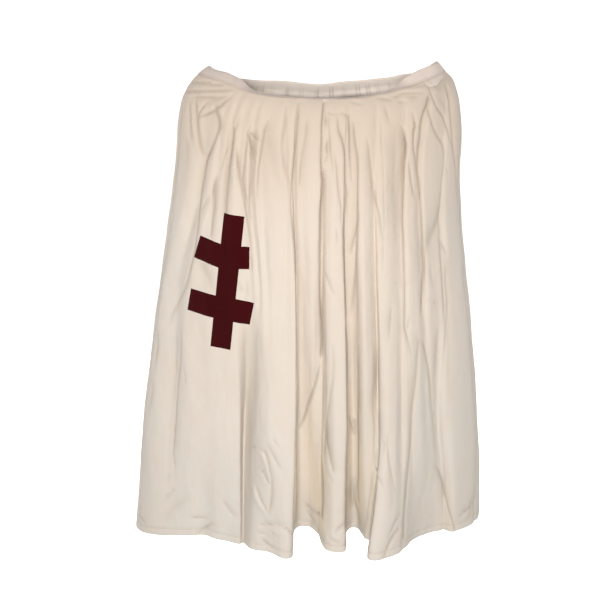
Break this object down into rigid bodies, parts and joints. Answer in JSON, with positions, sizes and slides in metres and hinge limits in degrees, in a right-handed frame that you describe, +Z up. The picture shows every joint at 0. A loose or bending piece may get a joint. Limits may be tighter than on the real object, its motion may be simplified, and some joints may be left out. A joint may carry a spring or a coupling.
{
  "type": "mantle",
  "caption": "Short closed mantle of unbleached cotton: a gathered, pleated tube on a ring neckband, with a laid-on two-bar cross.",
  "frame": {"origin": "middle of the neck opening, at the height where the cape lies on the wearer's shoulders", "axes": "+Z up, -Y out of the front, +X towards the wearer's left"},
  "size_m": [0.662, 0.3303, 0.8663],
  "materials": {
    "unbleached_cotton": "matt plain-woven unbleached cotton",
    "unbleached_cotton_back": "matt plain-woven unbleached cotton",
    "band_cotton": "matt folded cotton",
    "maroon_cloth": "matt dark maroon cotton"
  },
  "bodies": {
    "root": {"front": "unbleached_cotton", "back": "unbleached_cotton_back", "neckband": "band_cotton", "cross": "maroon_cloth"}
  },
  "joints": []
}
